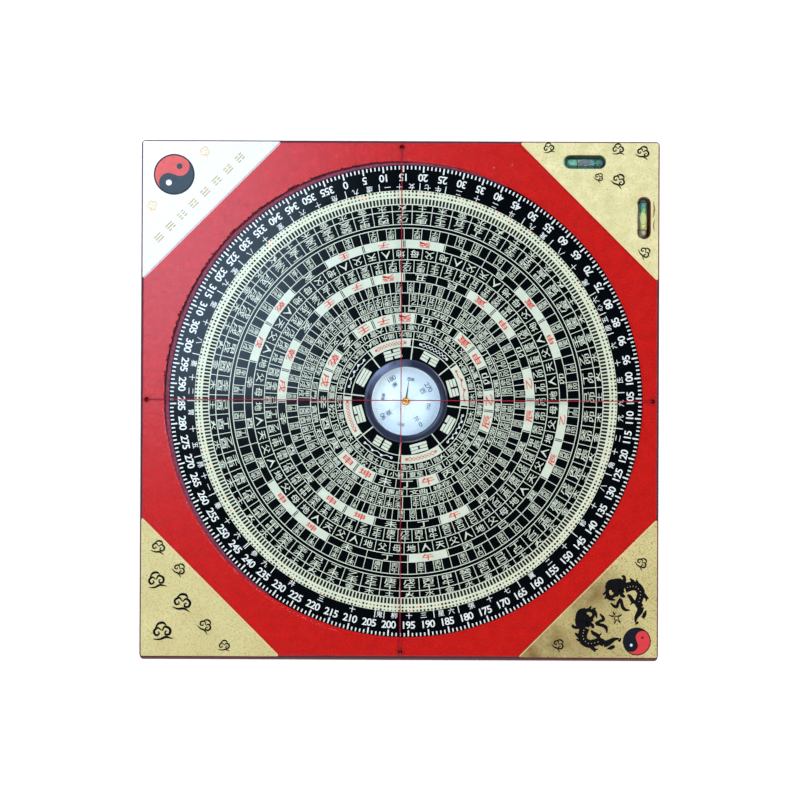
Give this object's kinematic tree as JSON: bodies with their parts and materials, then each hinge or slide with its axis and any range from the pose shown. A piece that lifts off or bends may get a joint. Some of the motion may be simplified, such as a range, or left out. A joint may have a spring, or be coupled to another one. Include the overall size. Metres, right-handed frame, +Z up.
{
  "type": "feng shui compass",
  "caption": "Square lacquered board with a turning ring dial, a needle compass at its centre, crossed sighting threads, corner plates and spirit vials.",
  "frame": {"origin": "centre of the board's underside, on the surface that it rests on", "axes": "+Z up out of the dial, +Y towards the board edge that is at the top of the picture, +X to its right"},
  "size_m": [0.215, 0.215, 0.0176],
  "materials": {
    "base_lacquer": "red lacquer, satin",
    "frame_lacquer": "red lacquer, glossy with a slight orange peel",
    "gold_foil": "pale gold foil with a fine grain",
    "vial_acrylic": "clear",
    "vial_stopper": "matte",
    "vial_spirit": "teal liquid",
    "red_thread": "twisted thread",
    "dial_board": "black stained board",
    "dial_print": "black sheet with a pale print",
    "capsule_plastic": "moulded",
    "card_white": "printed card",
    "pivot_brass": "turned",
    "window_clear": "clear",
    "bezel_slate": "gloss",
    "needle_steel": "half blued, half pale",
    "cap_brass": "polished"
  },
  "bodies": {
    "board": {"base_board": "base_lacquer", "dial_frame": "frame_lacquer", "corner_plate_ne": "gold_foil", "corner_plate_nw": "gold_foil", "corner_plate_sw": "gold_foil", "corner_plate_se": "gold_foil", "vial_tube_x": "vial_acrylic", "vial_tube_y": "vial_acrylic", "vial_plug_x": "vial_stopper", "vial_plug_y": "vial_stopper", "vial_liquid_x": "vial_spirit", "vial_liquid_y": "vial_spirit", "thread_x": "red_thread", "thread_y": "red_thread", "thread_knot_left": "red_thread", "thread_knot_right": "red_thread", "thread_knot_back": "red_thread", "thread_knot_front": "red_thread"},
    "dial": {"dial_disc": "dial_board", "dial_face": "dial_print", "compass_case": "capsule_plastic", "compass_card": "card_white", "compass_pivot": "pivot_brass", "compass_glass": "window_clear", "compass_bezel": "bezel_slate"},
    "magnet": {"needle": "needle_steel", "needle_cap": "cap_brass"}
  },
  "joints": [
    {"name": "dial_spin", "type": "hinge", "parent": "board", "child": "dial", "pos_m": [0.00255, -0.00067, 0.0063], "axis": [0, 0, 1], "continuous": true},
    {"name": "needle_spin", "type": "hinge", "parent": "dial", "child": "magnet", "pos_m": [0.00255, -0.00067, 0.0132], "axis": [0, 0, 1], "continuous": true}
  ]
}
